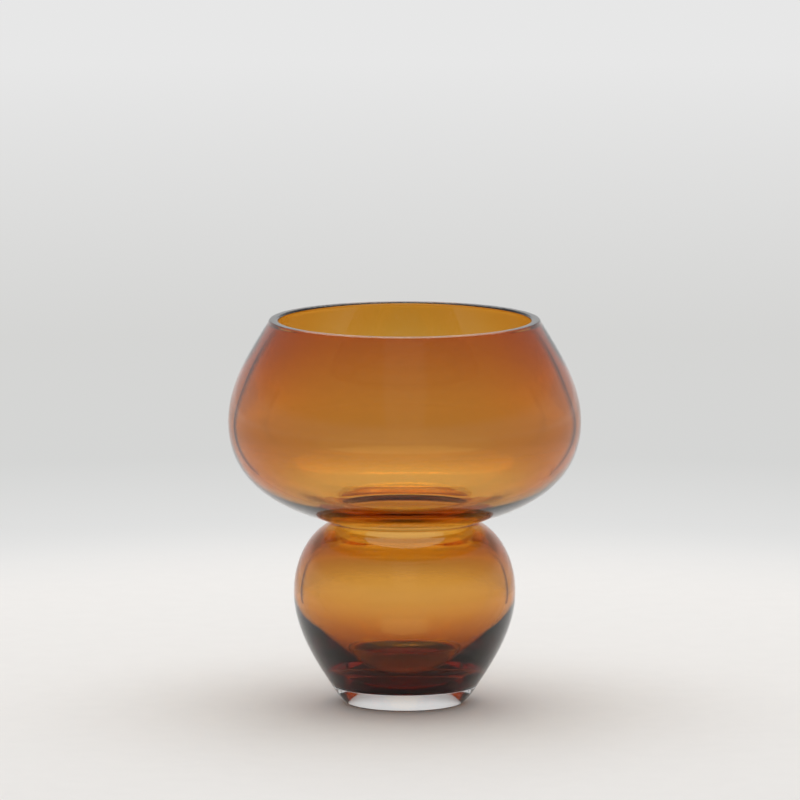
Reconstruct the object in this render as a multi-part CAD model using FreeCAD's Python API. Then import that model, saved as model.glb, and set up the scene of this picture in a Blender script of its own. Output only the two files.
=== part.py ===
import FreeCAD, Part
import os
from math import atan2, cos, pi, sin

# Gourd vase of cased glass, in millimetres. +Z is up and the origin is the
# middle of the flat underside. A clear outer layer backs an amber inner one.
# The wide bowl and the round globe are joined hot at the waist, where a
# narrow throat lets them open into each other, and a clear foot carries all.

# Overall sizes
vase_height = 242.0
lip_diameter = 170.0
bowl_diameter = 221.0
waist_diameter = 89.0
waist_height = 114.6
globe_diameter = 139.0
foot_diameter = 92.6
foot_height = 12.0
rest_diameter = 74.0

# Thickness of both glass layers together, from the lip to the throat
lip_wall = 6.0
shoulder_wall = 6.4
belly_wall = 4.8
heel_wall = 4.8
bowl_floor_wall = 5.5
bowl_seat_wall = 7.0
throat_diameter = 76.0

# The same in the globe, from the throat down to its heel
globe_shoulder_wall = 7.0
globe_upper_wall = 5.6
globe_side_wall = 5.2
globe_heel_wall = 10.5

# Bottom of the globe's cavity: a flat dish inside its heel, with a skin of
# clear glass left between the amber and the foot
dish_diameter = 72.0
dish_depth = 8.0
clear_bottom = 1.5

# Thickness of the amber layer alone
lip_amber = 2.4
shoulder_amber = 2.2
bowl_amber = 1.75
throat_amber = 2.6
globe_amber = 1.4
globe_heel_amber = 2.2
globe_floor_amber = 2.0

# Rounding of the fire-polished lip
lip_round = 1.3

# Outline of the bowl from the lip to the waist: shares of the bowl's radius
# and of the height between waist and lip
bowl_outline_shares = [(0.924, 0.755), (0.999, 0.498), (0.93, 0.273), (0.744, 0.12), (0.593, 0.0575)]

# Outline of the globe from the waist to the foot: shares of the globe's
# radius and of the height between foot and waist
globe_outline_shares = [(0.786, 0.937), (0.972, 0.714), (0.993, 0.493), (0.827, 0.175)]

# Bend of the foot's edge: shares of the way in from its top edge to the
# rest and of its height
foot_bend_shares = (0.42, 0.5)

bowl_radius = bowl_diameter / 2
waist_radius = waist_diameter / 2
throat_radius = throat_diameter / 2
globe_radius = globe_diameter / 2
foot_radius = foot_diameter / 2
rest_radius = rest_diameter / 2
down = FreeCAD.Vector(0, 0, -1)
inwards = FreeCAD.Vector(-1, 0, 0)


def point(radius, height):
    return FreeCAD.Vector(radius, 0, height)


def line(start, end):
    return Part.makeLine(start, end)


def arc(start, middle, end):
    return Part.Arc(start, middle, end).toShape()


def smooth(points, start, end):
    # One free curve through the points, with its direction at both ends.
    curve = Part.BSplineCurve()
    curve.interpolate(Points=points, InitialTangent=start, FinalTangent=end)
    return curve.toShape()


def free_curve(outline):
    curve = Part.BSplineCurve()
    curve.interpolate(Points=outline)
    return curve


def heading(outline, place):
    # The direction in which the free curve through an outline runs at one of its points.
    curve = free_curve(outline)
    return curve.tangent(curve.parameter(place))[0]


def inset(outline, depths):
    # The points of a falling outline, but for its two ends, moved square to it towards the axis.
    moved = []
    for place, depth in zip(outline[1:-1], depths):
        along = heading(outline, place)
        inward = atan2(along.z, along.x) - pi / 2
        moved.append(place + point(cos(inward), sin(inward)) * depth)
    return moved


def turn(edges):
    # The solid that a closed half section sweeps round the vase's axis.
    section = Part.Face(Part.Wire(Part.__sortEdges__(edges)))
    return section.revolve(point(0, 0), FreeCAD.Vector(0, 0, 1), 360)


def save(name, solid):
    if not solid.isValid() or solid.Volume <= 0:
        raise ValueError(name + " did not close")
    solid.exportStep("parts/" + name + ".step")
    print(name, round(solid.Volume), "mm3", len(solid.Faces), "faces")


# Meeting points of the layers
lip_radius = lip_diameter / 2
lip_edge_height = vase_height - lip_round
lip_inner_radius = lip_radius - lip_wall
lip_seam = point(lip_inner_radius + lip_amber, vase_height)
waist = point(waist_radius, waist_height)
throat = point(throat_radius, waist_height)
waist_seam = point(throat_radius + throat_amber, waist_height)
amber_bottom = point(0, foot_height + clear_bottom)
cavity_floor = point(0, amber_bottom.z + globe_floor_amber)
dish_edge = point(dish_diameter / 2, cavity_floor.z + dish_depth)
foot_top = point(foot_radius, foot_height)
foot_middle = point(0, foot_height)

# The bowl's outline and the glass thickness at each of its points
bowl_places = [point(bowl_radius * reach, waist_height + (vase_height - waist_height) * rise)
               for reach, rise in bowl_outline_shares]
bowl_outline = [point(lip_radius, lip_edge_height)] + bowl_places + [waist]
bowl_walls = [shoulder_wall, belly_wall, heel_wall, bowl_floor_wall, bowl_seat_wall]
bowl_ambers = [shoulder_amber, bowl_amber, bowl_amber, bowl_amber, bowl_amber]
bowl_clear_walls = [wall - amber for wall, amber in zip(bowl_walls, bowl_ambers)]

# The globe's outline and the glass thickness at each of its points
globe_places = [point(globe_radius * reach, foot_height + (waist_height - foot_height) * rise)
                for reach, rise in globe_outline_shares]
globe_outline = [waist] + globe_places + [foot_top]
globe_walls = [globe_shoulder_wall, globe_upper_wall, globe_side_wall, globe_heel_wall]
globe_ambers = [globe_amber, globe_amber, globe_amber, globe_heel_amber, globe_floor_amber]
globe_skin_places = [throat] + inset(globe_outline, globe_walls) + [dish_edge, cavity_floor]

# The bowl's free curves run into its lip in the same direction
lip_heading = heading(bowl_outline, bowl_outline[0])


def bowl_seam():
    # Where the clear and the amber glass of the bowl meet.
    places = [lip_seam] + inset(bowl_outline, bowl_clear_walls) + [waist_seam]
    return smooth(places, lip_heading, down)


def bowl_skin():
    # The inner surface of the bowl.
    places = [point(lip_inner_radius, lip_edge_height)] + inset(bowl_outline, bowl_walls) + [throat]
    return smooth(places, lip_heading, down)


def globe_seam():
    # Where the clear and the amber glass of the globe meet: its inner surface moved outwards.
    outwards = [-amber for amber in globe_ambers]
    places = [waist_seam] + inset(globe_skin_places, outwards) + [amber_bottom]
    return smooth(places, down, inwards)


def globe_skin():
    # The inner surface of the globe.
    return smooth(globe_skin_places, down, inwards)


def lip_corner(radius, side):
    # A rounded corner of the lip, from its edge to its flat top; the top
    # lies towards the axis where side is -1.
    drop = lip_round * (1 - sin(pi / 4))
    edge = point(radius, lip_edge_height)
    top = point(radius + side * lip_round, vase_height)
    return arc(edge, point(radius + side * drop, vase_height - drop), top), top


def bowl_clear_casing():
    corner, top = lip_corner(lip_radius, -1)
    outer = free_curve(bowl_outline).toShape()
    return turn([outer, corner, line(top, lip_seam), bowl_seam(), line(waist_seam, waist)])


def bowl_amber_lining():
    corner, top = lip_corner(lip_inner_radius, 1)
    return turn([bowl_skin(), corner, line(top, lip_seam), bowl_seam(), line(waist_seam, throat)])


def globe_clear_casing():
    outer = free_curve(globe_outline).toShape()
    bottom = [line(foot_top, foot_middle), line(foot_middle, amber_bottom)]
    return turn([outer] + bottom + [globe_seam(), line(waist_seam, waist)])


def globe_amber_lining():
    return turn([line(throat, waist_seam), globe_seam(), line(amber_bottom, cavity_floor), globe_skin()])


def clear_foot():
    # A plain disc with a rounded side, narrower where it rests.
    way_in, rise = foot_bend_shares
    bend = point(foot_radius - (foot_radius - rest_radius) * way_in, foot_height * rise)
    rest_middle = point(0, 0)
    rest_edge = point(rest_radius, 0)
    flats = [line(foot_top, foot_middle), line(rest_middle, rest_edge)]
    return turn(flats + [line(foot_middle, rest_middle), arc(foot_top, bend, rest_edge)])


os.makedirs("parts", exist_ok=True)
save("bowl_clear_casing", bowl_clear_casing())
save("bowl_amber_lining", bowl_amber_lining())
save("globe_clear_casing", globe_clear_casing())
save("globe_amber_lining", globe_amber_lining())
save("clear_foot", clear_foot())
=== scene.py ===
import bpy
import math
import numpy as np
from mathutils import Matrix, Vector


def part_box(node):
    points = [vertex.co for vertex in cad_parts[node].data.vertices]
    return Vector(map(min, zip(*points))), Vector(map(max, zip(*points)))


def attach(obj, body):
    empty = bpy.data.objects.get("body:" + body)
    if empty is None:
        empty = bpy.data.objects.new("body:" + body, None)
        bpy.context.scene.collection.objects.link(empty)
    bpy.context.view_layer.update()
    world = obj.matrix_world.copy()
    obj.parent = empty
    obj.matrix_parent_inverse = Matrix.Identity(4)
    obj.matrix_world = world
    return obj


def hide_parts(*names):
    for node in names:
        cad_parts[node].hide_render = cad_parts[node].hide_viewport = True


# Gourd vase of cased glass: one clear wall in two bulbs with an amber lining
# inside it, on a clear foot. Lengths are in metres unless a name says mm.
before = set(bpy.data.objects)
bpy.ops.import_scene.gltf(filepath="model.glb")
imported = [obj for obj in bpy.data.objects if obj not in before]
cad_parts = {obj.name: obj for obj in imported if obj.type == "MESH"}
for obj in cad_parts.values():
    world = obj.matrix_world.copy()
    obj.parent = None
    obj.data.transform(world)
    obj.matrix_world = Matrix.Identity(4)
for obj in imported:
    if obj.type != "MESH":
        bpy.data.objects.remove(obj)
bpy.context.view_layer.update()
print("stage: frame loaded")

mm = 0.001

# What the frame fixes: the heights of the bowl and the foot, and the foot's radius
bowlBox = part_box("bowl_clear_casing")
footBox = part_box("clear_foot")
waist, top = bowlBox[0][2], bowlBox[1][2]
footRadius, _, footTop = footBox[1]

# How finely the surfaces are cut, and the gaps below which points are one
fineness = {
    "curve": 84,
    "heading": 4000,
    "turns": 256,
    "lipCorner": 9,
    "footSide": 14,
    "flat": 8,
    "pointGap": 0.002 * mm,
    "axisGap": 0.0001 * mm,
}


def freeCurve(points, start=None, end=None, count=fineness["curve"]):
    # Cubic spline over the chord length t: each stretch is
    # a*P0 + b*P1 + ((a^3-a)*M0 + (b^3-b)*M1)*h^2/6, with the bends M found
    # from equal slopes at the joints and the directions given at the ends.
    # Also gives where the points lie on the curve.
    p = np.array(points, float)
    t = np.r_[0, np.cumsum(np.hypot(*np.diff(p, axis=0).T))]
    h = np.diff(t)
    m = len(t)
    left = np.zeros((m, m))
    right = np.zeros((m, 2))
    slope = np.diff(p, axis=0) / h[:, None]
    inner = np.arange(1, m - 1)
    left[inner, inner - 1] = h[:-1]
    left[inner, inner] = 2 * (h[:-1] + h[1:])
    left[inner, inner + 1] = h[1:]
    right[1:-1] = 6 * np.diff(slope, axis=0)
    if start is None:
        left[0, :3] = h[1], -(h[0] + h[1]), h[0]
    else:
        left[0, :2] = 2 * h[0], h[0]
        right[0] = 6 * (slope[0] - np.array(start) / np.hypot(*start))
    if end is None:
        left[-1, -3:] = h[-1], -(h[-2] + h[-1]), h[-2]
    else:
        left[-1, -2:] = h[-1], 2 * h[-1]
        right[-1] = 6 * (np.array(end) / np.hypot(*end) - slope[-1])
    bend = np.linalg.solve(left, right)
    s = np.unique(np.r_[np.linspace(0, t[-1], count), t])
    k = np.clip(np.searchsorted(t, s, side="right") - 1, 0, m - 2)
    a = ((t[k + 1] - s) / h[k])[:, None]
    b = 1 - a
    sixth = (h[k] ** 2)[:, None] / 6
    bowed = (a**3 - a) * bend[k] + (b**3 - b) * bend[k + 1]
    return a * p[k] + b * p[k + 1] + bowed * sixth, np.searchsorted(s, t)


def headings(curve):
    # Unit direction at each point of a curve: its central difference over its own length.
    d = np.gradient(curve, axis=0)
    return d / np.hypot(*d.T)[:, None]


def inset(points, depths):
    # The inner points of an outline moved by depth along its direction turned a quarter right.
    curve, at = freeCurve(points, count=fineness["heading"])
    d = headings(curve)[at][1:-1]
    normal = np.stack([d[:, 1], -d[:, 0]], 1)
    return np.array(points)[1:-1] + normal * np.array(depths)[:, None]


def arcThrough(a, b, c):
    # Points at even angles on the circle through three points, from the
    # first to the last. Its middle o solves |a-o| = |b-o| = |c-o|.
    a, b, c = (np.array(v, float) for v in (a, b, c))
    d = 2 * (a[0] * (b[1] - c[1]) + b[0] * (c[1] - a[1]) + c[0] * (a[1] - b[1]))
    squares = np.array([a @ a, b @ b, c @ c])
    o = np.array([squares @ [b[1] - c[1], c[1] - a[1], a[1] - b[1]],
                  squares @ [c[0] - b[0], a[0] - c[0], b[0] - a[0]]]) / d
    t0, t1 = math.atan2(*(a - o)[::-1]), math.atan2(*(c - o)[::-1])
    t1 += 2 * math.pi * round((t0 - t1) / (2 * math.pi))
    t = np.linspace(t0, t1, fineness["footSide"])
    return o + np.hypot(*(a - o)) * np.stack([np.cos(t), np.sin(t)], 1)


def chain(*parts):
    # One run of profile points without doubles.
    run = np.vstack([np.atleast_2d(q) for q in parts])
    keep = np.r_[True, np.hypot(*np.diff(run, axis=0).T) > fineness["pointGap"]]
    return run[keep]


def level(radii, height):
    # Profile points at one height.
    return np.stack([radii, np.full_like(radii, height)], 1)


def spun(name, profile, turns=fineness["turns"]):
    # Surface of revolution: (r(i) cos(j), r(i) sin(j), z(i)) on a grid of
    # profile points i and angles j; ends on the axis close in one point.
    # A profile that leaves the axis at both ends is a closed ring section.
    pole0, pole1 = profile[0, 0] < fineness["axisGap"], profile[-1, 0] < fineness["axisGap"]
    ring = profile[int(pole0):len(profile) - int(pole1)]
    n = len(ring)
    j = np.arange(turns) * 2 * np.pi / turns
    grid = np.stack([np.outer(ring[:, 0], np.cos(j)), np.outer(ring[:, 0], np.sin(j)),
                     np.repeat(ring[:, 1:], turns, 1)], -1).reshape(-1, 3)
    rows = np.arange(n if not (pole0 or pole1) else n - 1)[:, None]
    cols = np.arange(turns)[None, :]
    nextRow, nextCol = (rows + 1) % n, (cols + 1) % turns
    quads = np.stack([rows * turns + cols, rows * turns + nextCol,
                      nextRow * turns + nextCol, nextRow * turns + cols], -1).reshape(-1, 4)
    verts, faces = grid.tolist(), quads.tolist()
    c = np.arange(turns)
    if pole0:
        verts.append((0, 0, float(profile[0, 1])))
        tip = np.full(turns, len(verts) - 1)
        faces += np.stack([tip, (c + 1) % turns, c], -1).tolist()
    if pole1:
        verts.append((0, 0, float(profile[-1, 1])))
        tip = np.full(turns, len(verts) - 1)
        last = (n - 1) * turns
        faces += np.stack([last + c, last + (c + 1) % turns, tip], -1).tolist()
    mesh = bpy.data.meshes.new(name)
    mesh.from_pydata(verts, [], faces)
    mesh.shade_smooth()
    mesh.update()
    obj = bpy.data.objects.new(name, mesh)
    bpy.context.scene.collection.objects.link(obj)
    return obj


def nodesOf(name):
    # A new material, its node tree, its main shader and its output.
    material = bpy.data.materials.new(name)
    material.use_nodes = True
    tree = material.node_tree
    return material, tree, tree.nodes["Principled BSDF"], tree.nodes["Material Output"]


def glassShader(shader, ior):
    shader.inputs["Transmission Weight"].default_value = 1.0
    shader.inputs["IOR"].default_value = ior
    shader.inputs["Roughness"].default_value = 0.0


def objectNoise(tree, scale, detail, stretch=(1, 1, 1)):
    # Noise on Object coordinates, stretched along the axes.
    place = tree.nodes.new("ShaderNodeTexCoord")
    mapping = tree.nodes.new("ShaderNodeMapping")
    mapping.inputs["Scale"].default_value = stretch
    noise = tree.nodes.new("ShaderNodeTexNoise")
    noise.inputs["Scale"].default_value = scale
    noise.inputs["Detail"].default_value = detail
    tree.links.new(place.outputs["Object"], mapping.inputs["Vector"])
    tree.links.new(mapping.outputs["Vector"], noise.inputs["Vector"])
    return noise.outputs["Fac"]


def ramp(tree, value, stops):
    # Colours over a value; stops are (position, colour).
    node = tree.nodes.new("ShaderNodeValToRGB")
    band = node.color_ramp
    while len(band.elements) < len(stops):
        band.elements.new(0.5)
    for element, (position, colour) in zip(band.elements, stops):
        element.position = position
        element.color = (*colour, 1)
    tree.links.new(value, node.inputs["Fac"])
    return node.outputs["Color"]


def mapRange(tree, value, fromEdges, toEdges=(0, 1), kind="SMOOTHSTEP"):
    # A value carried from one span to another and held at its ends.
    node = tree.nodes.new("ShaderNodeMapRange")
    node.interpolation_type = kind
    for name, edges in (("From", fromEdges), ("To", toEdges)):
        node.inputs[name + " Min"].default_value = edges[0]
        node.inputs[name + " Max"].default_value = edges[1]
    tree.links.new(value, node.inputs["Value"])
    return node.outputs["Result"]


def mathNode(tree, operation, *values):
    node = tree.nodes.new("ShaderNodeMath")
    node.operation = operation
    for slot, value in zip(node.inputs, values):
        tree.links.new(value, slot)
    return node.outputs["Value"]


def mixShaders(tree, share, first, second, output):
    # The surface is the first shader where the share is 0 and the second where it is 1.
    mix = tree.nodes.new("ShaderNodeMixShader")
    for slot, value in zip(mix.inputs, (share, first, second)):
        tree.links.new(value, slot)
    tree.links.new(mix.outputs["Shader"], output.inputs["Surface"])


def place3d(tree, output, kind="ShaderNodeSeparateXYZ"):
    # A texture coordinate led into a vector node.
    place = tree.nodes.new("ShaderNodeTexCoord")
    node = tree.nodes.new(kind)
    tree.links.new(place.outputs[output], node.inputs[0])
    return node


# The clear outer glass. Shares are of the bulb's radius and of its height;
# noises are scale, detail and stretch.
wall = {
    "lipRadius": 85 * mm,
    "lipRound": 1.3 * mm,
    "lipWall": 6 * mm,
    "bowlRadius": 110.5 * mm,
    "globeRadius": 69.5 * mm,
    "waistRadius": 44.5 * mm,
    "throatRadius": 38 * mm,
    "cavityFloor": 15.5 * mm,
    "dishEdge": (36 * mm, 23.5 * mm),
    "bowlShares": [(0.924, 0.755), (0.999, 0.498), (0.93, 0.273), (0.744, 0.12), (0.593, 0.0575)],
    "globeShares": [(0.786, 0.937), (0.972, 0.714), (0.993, 0.493), (0.827, 0.175)],
    "bowlWallsMm": [6.4, 4.8, 4.8, 5.5, 7.0],
    "globeWallsMm": [7.0, 5.6, 5.2, 10.5],
    "ior": 1.5,
    "tints": [(0.3, (0.985, 0.99, 0.985)), (0.7, (1.0, 1.0, 0.998))],
    "tintNoise": (9, 3),
    "ripple": 0.4,
    "rippleDepth": 1 * mm,
    "rippleNoise": (14, 1, (1, 1, 0.6)),
}
lipEdge = top - wall["lipRound"]
lipInner = wall["lipRadius"] - wall["lipWall"]
waistPoint = (wall["waistRadius"], waist)
throat = (wall["throatRadius"], waist)
floorMiddle = (0, wall["cavityFloor"])
bowlOutline = [(wall["lipRadius"], lipEdge)]
bowlOutline += [(wall["bowlRadius"] * a, waist + (top - waist) * b) for a, b in wall["bowlShares"]]
bowlOutline += [waistPoint]
globeOutline = [waistPoint]
globeOutline += [(wall["globeRadius"] * a, footTop + (waist - footTop) * b)
                 for a, b in wall["globeShares"]]
globeOutline += [(footRadius, footTop)]
bowlOuter, _ = freeCurve(bowlOutline)
globeOuter, _ = freeCurve(globeOutline)
lipHeading = headings(freeCurve(bowlOutline, count=fineness["heading"])[0])[0]


def innerBowl(depthsMm, lipPoint, throatPoint):
    # Free curve through the bowl's outline moved inwards, from a lip point down to the throat.
    places = [lipPoint, *inset(bowlOutline, np.array(depthsMm) * mm), throatPoint]
    return freeCurve(places, start=lipHeading, end=(0, -1))[0]


def innerGlobe(places):
    # Free curve from the throat, straight down, to the cavity's floor, level.
    return freeCurve(places, start=(0, -1), end=(-1, 0))[0]


def lipCorner(radius, side):
    # Quarter circle from a wall's edge up to the flat top.
    quarter = np.linspace(0, np.pi / 2, fineness["lipCorner"])
    r = wall["lipRound"]
    return np.stack([radius + side * r * (1 - np.cos(quarter)), lipEdge + r * np.sin(quarter)], 1)


bowlSkin = innerBowl(wall["bowlWallsMm"], (lipInner, lipEdge), throat)
globePlaces = [throat, *inset(globeOutline, np.array(wall["globeWallsMm"]) * mm),
               wall["dishEdge"], floorMiddle]
globeSkin = innerGlobe(globePlaces)
reach = np.linspace(0, 1, fineness["flat"])
wallSection = chain(level(reach * footRadius, footTop), globeOuter[::-1], bowlOuter[::-1],
                    lipCorner(wall["lipRadius"], -1), lipCorner(lipInner, 1)[::-1],
                    bowlSkin, globeSkin)
clearGlass, tree, shader, _ = nodesOf("clearGlass")
glassShader(shader, wall["ior"])
tint = ramp(tree, objectNoise(tree, *wall["tintNoise"]), wall["tints"])
tree.links.new(tint, shader.inputs["Base Color"])
ripple = tree.nodes.new("ShaderNodeBump")
ripple.inputs["Strength"].default_value = wall["ripple"]
ripple.inputs["Distance"].default_value = wall["rippleDepth"]
tree.links.new(objectNoise(tree, *wall["rippleNoise"]), ripple.inputs["Height"])
tree.links.new(ripple.outputs["Normal"], shader.inputs["Normal"])
vaseWall = spun("vaseWall", wallSection)
vaseWall.data.materials.append(clearGlass)
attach(vaseWall, "root")
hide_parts("bowl_clear_casing", "globe_clear_casing")
print("stage: clear wall")

# The amber lining: it sits in the wall, a hair inside its inner surface, so
# that light meets one glass edge there and only the colour of the amber.
amber = {
    "lipMm": 2.4,
    "bowlMm": [2.2, 1.75, 1.75, 0.9, 0.4],
    "throatMm": 1.2,
    "globeMm": [1.8, 1.4, 1.4, 2.4, 2.8],
    "hair": 0.03 * mm,
    "lipGap": 0.12 * mm,
    "absorb": (0.897, 0.657, 0.0),
    "density": 1150.0,
    "tints": [(0.3, (0.985, 0.965, 0.93)), (0.7, (1.0, 1.0, 1.0))],
    "tintNoise": (6, 2, (1, 1, 3)),
}
hair = amber["hair"]
lipSeam = (lipInner + amber["lipMm"] * mm, top)
waistSeam = (throat[0] + amber["throatMm"] * mm, waist)
amberBottom = (0, wall["cavityFloor"] - amber["globeMm"][-1] * mm)
bowlSeam = innerBowl(np.array(wall["bowlWallsMm"]) - amber["bowlMm"], lipSeam, waistSeam)
globeSeam = innerGlobe([waistSeam, *inset(globePlaces, -np.array(amber["globeMm"]) * mm),
                        amberBottom])


def backed(curve, gap):
    # A falling inner surface moved by a gap back into the glass.
    d = headings(curve)
    moved = curve + np.stack([-d[:, 1], d[:, 0]], 1) * gap
    moved[:, 0] = np.maximum(moved[:, 0], 0)
    return moved


amberGlass, tree, shader, output = nodesOf("amberGlass")
glassShader(shader, 1.0)  # no second edge inside the glass
tint = ramp(tree, objectNoise(tree, *amber["tintNoise"]), amber["tints"])
tree.links.new(tint, shader.inputs["Base Color"])
absorption = tree.nodes.new("ShaderNodeVolumeAbsorption")
absorption.inputs["Color"].default_value = (*amber["absorb"], 1)
absorption.inputs["Density"].default_value = amber["density"]
tree.links.new(absorption.outputs["Volume"], output.inputs["Volume"])

# The linings end a hair from each other at the waist and below the lip's top
bowlBack = backed(bowlSkin, hair)
bowlBack[-1] = (throat[0] + hair, waist + hair)
bowlSection = chain(bowlSeam[1:-1][::-1], (bowlSeam[1][0], top - amber["lipGap"]),
                    (bowlBack[0][0], lipEdge), bowlBack, (waistSeam[0], waist + hair))
bowlLining = spun("bowlLining", bowlSection)
bowlLining.data.materials.append(amberGlass)
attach(bowlLining, "root")
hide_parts("bowl_amber_lining")

globeBack = backed(globeSkin, hair)
globeBack[0] = (throat[0] + hair, waist - hair)
globeBack[-1] = (0, floorMiddle[1] - hair)
globeSection = chain(globeSeam[1:][::-1], (waistSeam[0], waist - hair), globeBack)
globeSection[0, 0] = 0
globeLining = spun("globeLining", globeSection)
globeLining.data.materials.append(amberGlass)
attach(globeLining, "root")
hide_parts("globe_amber_lining")
print("stage: amber linings")

# The clear foot: a disc with a rounded side; a film of air under the wall
# keeps the bright light in it, as in the photographed foot.
foot = {
    "restRadius": 37 * mm,
    "bendShares": (0.42, 0.5),
    "film": 0.05 * mm,
}
wayIn, rise = foot["bendShares"]
bend = (footRadius - (footRadius - foot["restRadius"]) * wayIn, footTop * rise)
side = arcThrough((foot["restRadius"], 0), bend, (footRadius, footTop))
side[-1, 1] -= foot["film"]
sideRadius, sideTop = side[-1]
footSection = chain(level(reach * foot["restRadius"], 0), side,
                    level(reach * sideRadius, sideTop)[::-1])
clearFoot = spun("clearFoot", footSection)
clearFoot.data.materials.append(clearGlass)
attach(clearFoot, "root")
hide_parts("clear_foot")
print("stage: clear foot")

# Floor and sky: pale paper that fades into a glowing ground, which only
# the camera and the glass see, under a sky that is lighter at the horizon.
# The ground's glow is painted light in place of lit paper, with painted
# shade in a darker ring about 1 to 1.7 m out and lighter further off.
# Ground stops are shares of groundReach; sky edges are heights on the unit ball.
studio = {
    "floorRadius": 14.0,
    "firstRing": 0.1,
    "rings": 24,
    "turns": 96,
    "paper": (0.815, 0.797, 0.775),
    "darkerPaper": 0.985,
    "paperNoise": (60, 5),
    "paperRoughness": 0.85,
    "paperShine": 0.15,
    "fadeEdges": (0.45, 0.75),
    "groundReach": 4.0,
    # painted light: the ground's glow, a darker ring of painted shade, lighter far off
    "paintedGroundLight": [(0.15, (0.78, 0.78, 0.775)), (0.26, (0.665, 0.668, 0.66)),
               (0.42, (0.665, 0.665, 0.655)), (0.9, (0.80, 0.80, 0.80))],
    "skyEdges": (0.13, 0.33),
    "skyLights": (0.7, 0.42),
}
rings = np.r_[0, np.geomspace(studio["firstRing"], studio["floorRadius"], studio["rings"])]
floor = spun("floor", level(rings, 0)[::-1], studio["turns"])
paper, tree, shader, output = nodesOf("paper")
shader.inputs["Roughness"].default_value = studio["paperRoughness"]
shader.inputs["Specular IOR Level"].default_value = studio["paperShine"]
darker = tuple(studio["darkerPaper"] * c for c in studio["paper"])
grain = ramp(tree, objectNoise(tree, *studio["paperNoise"]), [(0.3, darker), (0.7, studio["paper"])])
tree.links.new(grain, shader.inputs["Base Color"])
length = place3d(tree, "Object", "ShaderNodeVectorMath")
length.operation = "LENGTH"
away = length.outputs["Value"]
share = mapRange(tree, away, (0, studio["groundReach"]), kind="LINEAR")
# Painted light: the far ground glows as if lit, with painted shade in a ring
paintedGroundLight = tree.nodes.new("ShaderNodeEmission")
tree.links.new(ramp(tree, share, studio["paintedGroundLight"]), paintedGroundLight.inputs["Color"])
rays = tree.nodes.new("ShaderNodeLightPath").outputs
throughGlass = mathNode(tree, "MAXIMUM", rays["Is Glossy Ray"], rays["Is Transmission Ray"])
seen = mathNode(tree, "MAXIMUM", rays["Is Camera Ray"], throughGlass)
shown = mathNode(tree, "MULTIPLY", seen, mapRange(tree, away, studio["fadeEdges"]))
mixShaders(tree, shown, shader.outputs["BSDF"], paintedGroundLight.outputs["Emission"], output)
floor.data.materials.append(paper)

world = bpy.data.worlds.new("studioLight")
bpy.context.scene.world = world
world.use_nodes = True
tree = world.node_tree
background = tree.nodes["Background"].inputs
background["Color"].default_value = (1, 1, 1, 1)
height = place3d(tree, "Generated").outputs["Z"]
strength = mapRange(tree, height, studio["skyEdges"], studio["skyLights"])
tree.links.new(strength, background["Strength"])

# Lamps: a large soft one above and behind, a weak one in front and a small one behind
lamps = {
    "overhead": {"shape": "ELLIPSE", "size": (5.6, 5.6), "watts": 125,
                 "at": (0, 1.2, 3.4), "aim": (0, 1.2, 0)},
    "frontStrip": {"shape": "RECTANGLE", "size": (1.5, 3.0), "watts": 2,
                   "at": (0, -2.6, 2.2), "aim": (0, 0, 0.12)},
    "backLamp": {"shape": "RECTANGLE", "size": (0.5, 0.3), "watts": 1.5,
                 "at": (0, 1.7, 1.9), "aim": (0, 0, 0.12)},
}


def pointed(name, data, at, aim):
    # A new object at a place, looking at another.
    holder = bpy.data.objects.new(name, data)
    holder.location = at
    holder.rotation_euler = (Vector(aim) - Vector(at)).to_track_quat("-Z", "Y").to_euler()
    bpy.context.scene.collection.objects.link(holder)
    return holder


for name, lamp in lamps.items():
    light = bpy.data.lights.new(name, "AREA")
    light.shape = lamp["shape"]
    light.size, light.size_y = lamp["size"]
    light.energy = lamp["watts"]
    pointed(name, light, lamp["at"], lamp["aim"])

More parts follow.
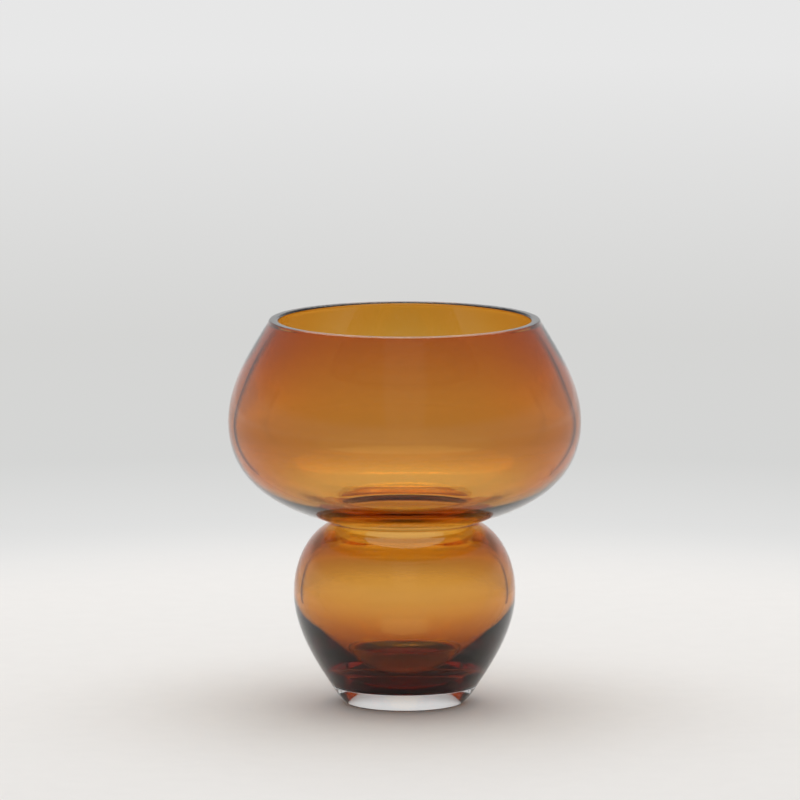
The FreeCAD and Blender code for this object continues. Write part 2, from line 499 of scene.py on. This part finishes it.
# Two upright dark boards behind the vase, with faint edges. The glass shows
# them as thin lines at its rims; they are otherwise unseen and shade nothing.
cards = {
    "width": 0.06,
    "height": 0.9,
    "lift": 0.002,
    "distance": 0.3,
    "turn": 50.5,
    "solid": 0.97,
    "solidHalfShare": 0.12,
    "roughness": 0.9,
    "tones": [(0.3, (0.06, 0.028, 0.014)), (0.7, (0.085, 0.04, 0.02))],
    "toneNoise": (40, 3),
}
cardPaper, tree, shader, output = nodesOf("cardPaper")
tone = ramp(tree, objectNoise(tree, *cards["toneNoise"]), cards["tones"])
tree.links.new(tone, shader.inputs["Base Color"])
shader.inputs["Roughness"].default_value = cards["roughness"]
sideways = mathNode(tree, "ABSOLUTE", place3d(tree, "Object").outputs["X"])
halves = (cards["width"] / 2, cards["width"] * cards["solidHalfShare"])
solid = mapRange(tree, sideways, halves, (0, cards["solid"]))
clear = tree.nodes.new("ShaderNodeBsdfTransparent")
mixShaders(tree, solid, clear.outputs["BSDF"], shader.outputs["BSDF"], output)


def darkCard(turn):
    w, h = cards["width"], cards["height"]
    corners = [(-w / 2, 0, 0), (w / 2, 0, 0), (w / 2, 0, h), (-w / 2, 0, h)]
    mesh = bpy.data.meshes.new("darkCard")
    mesh.from_pydata(corners, [], [(0, 1, 2, 3)])
    mesh.materials.append(cardPaper)
    card = bpy.data.objects.new("darkCard", mesh)
    card.location = (cards["distance"] * math.sin(turn), cards["distance"] * math.cos(turn),
                     cards["lift"])
    card.rotation_euler = (0, 0, -turn)
    bpy.context.scene.collection.objects.link(card)
    card.visible_camera = False
    card.visible_diffuse = False
    card.visible_shadow = False
    card.visible_glossy = False


darkCard(-math.radians(cards["turn"]))
darkCard(math.radians(cards["turn"]))
print("stage: studio")

# Camera as in the photograph: far away and a little above, aimed so that
# the 800 x 800 frame spans half a metre at the vase
camera = {
    "distance": 6.5,
    "elevation": 8.25,
    "frameWidth": 0.5,
    "aim": (-0.0029, 0, 0.191),
    "sensorMm": 36,
    "farEnd": 100,
}
lens = bpy.data.cameras.new("camera")
lens.sensor_width = camera["sensorMm"]
lens.lens = camera["sensorMm"] * camera["distance"] / camera["frameWidth"]
lens.clip_end = camera["farEnd"]
up = math.radians(camera["elevation"])
away = Vector((0, -math.cos(up), math.sin(up))) * camera["distance"]
scene = bpy.context.scene
scene.camera = pointed("camera", lens, Vector(camera["aim"]) + away, camera["aim"])
scene.view_settings.view_transform = "Standard"
scene.cycles.max_bounces = 32
scene.cycles.transmission_bounces = 32
scene.cycles.glossy_bounces = 16
scene.cycles.transparent_max_bounces = 16

print("stage: camera")
